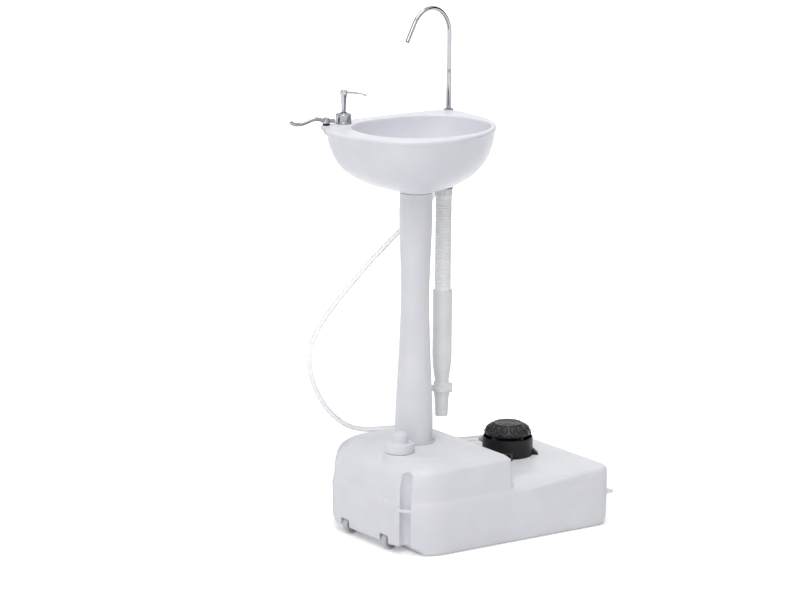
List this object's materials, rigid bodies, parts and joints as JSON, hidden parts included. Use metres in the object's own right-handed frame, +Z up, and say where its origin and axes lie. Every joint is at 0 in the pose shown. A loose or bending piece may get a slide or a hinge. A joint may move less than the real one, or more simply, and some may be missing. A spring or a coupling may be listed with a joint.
{
  "type": "portable wash stand",
  "caption": "Portable camp wash stand: water tank with foot pump and wheels, column, D-shaped basin, gooseneck spout, soap dispenser, towel bar and hoses.",
  "frame": {"origin": "centre of the tank's plan, on the floor", "axes": "+X along the tank towards the foot pump, +Y to the straight back edge of the basin, +Z up"},
  "size_m": [0.5972, 0.335, 1.0303],
  "materials": {
    "white_hdpe": "moulded, faint sheen",
    "basin_hdpe": "moulded, soft gloss",
    "black_rubber": "matt moulded rubber",
    "white_rubber": "moulded silicone, dull",
    "black_plastic": "moulded",
    "grey_plastic": "moulded",
    "natural_plastic": "moulded, natural",
    "chrome": "plated and polished",
    "stainless": "turned",
    "black_steel": "blackened",
    "clear_vinyl": "extruded, cloudy clear",
    "drain_vinyl": "ribbed, cloudy clear"
  },
  "bodies": {
    "stand": {"tank_shell": "white_hdpe", "axle": "stainless", "axle_caps": "stainless", "column": "white_hdpe", "column_seal": "white_rubber", "pump_gasket": "black_rubber", "pump_base": "black_plastic", "pump_screws": "black_steel", "pump_bellows": "black_rubber", "pump_spring": "stainless", "inlet_valve": "black_rubber", "outlet_barb": "natural_plastic", "outlet_valve": "black_rubber", "suction_tube": "clear_vinyl", "suction_strainer": "black_plastic", "basin": "basin_hdpe", "drain_flange": "stainless", "grate_screw": "stainless", "drain_gasket": "black_rubber", "drain_nut": "natural_plastic", "drain_hose": "drain_vinyl", "drain_sleeve": "natural_plastic", "drain_coupling": "natural_plastic", "drain_nozzle": "natural_plastic", "spout_shank": "chrome", "spout_washer": "black_rubber", "spout_nut": "stainless", "supply_hose": "clear_vinyl", "hose_clips": "stainless", "soap_collar": "chrome", "soap_bottle": "natural_plastic", "soap_cylinder": "natural_plastic", "soap_spring": "stainless", "soap_dip_tube": "clear_vinyl", "towel_bush": "black_plastic", "towel_bolt": "chrome", "towel_nut": "stainless"},
    "pump_cap": {"pump_cap": "black_rubber"},
    "soap_piston": {"soap_stem": "natural_plastic"},
    "soap_nozzle": {"soap_head": "chrome"},
    "spout": {"spout": "chrome"},
    "wheel_left": {"wheel_left": "grey_plastic"},
    "wheel_right": {"wheel_right": "grey_plastic"},
    "filler_lift": {"filler_gasket": "black_rubber"},
    "filler_cap": {"filler_cap": "white_hdpe"},
    "towel_bar": {"towel_bar": "chrome"}
  },
  "joints": [
    {"name": "pump_press", "type": "slide", "parent": "stand", "child": "pump_cap", "axis": [0, 0, -1], "range_m": [0, 0.014], "stiffness_N_per_m": 1500, "springref_m": -0.01, "deforming": ["pump_bellows", "pump_spring"]},
    {"name": "soap_press", "type": "slide", "parent": "stand", "child": "soap_piston", "axis": [0, 0, -1], "range_m": [0, 0.012], "stiffness_N_per_m": 400, "springref_m": -0.01, "deforming": ["soap_spring"]},
    {"name": "soap_turn", "type": "hinge", "parent": "soap_piston", "child": "soap_nozzle", "pos_m": [-0.226, 0.106, 0.85], "axis": [0, 0, 1], "continuous": true},
    {"name": "spout_turn", "type": "hinge", "parent": "stand", "child": "spout", "pos_m": [0.038, 0.124, 0.82], "axis": [0, 0, 1], "continuous": true},
    {"name": "wheel_left_spin", "type": "hinge", "parent": "stand", "child": "wheel_left", "pos_m": [-0.229, -0.067, 0.018], "axis": [0, 1, 0], "continuous": true},
    {"name": "wheel_right_spin", "type": "hinge", "parent": "stand", "child": "wheel_right", "pos_m": [-0.229, 0.067, 0.018], "axis": [0, 1, 0], "continuous": true},
    {"name": "filler_rise", "type": "slide", "parent": "stand", "child": "filler_lift", "axis": [0, 0, 1], "range_m": [0, 0.0061]},
    {"name": "filler_turn", "type": "hinge", "parent": "filler_lift", "child": "filler_cap", "pos_m": [-0.194, -0.048, 0.2], "axis": [0, 0, 1], "range_deg": [0, 720]},
    {"name": "towel_bar_swing", "type": "hinge", "parent": "stand", "child": "towel_bar", "pos_m": [-0.266, 0.107, 0.825], "axis": [0, 0, 1], "range_deg": [-60, 60]}
  ],
  "couplings": [
    {"joint": "filler_rise", "follows": "filler_turn", "m_per_rad": 0.000477}
  ]
}
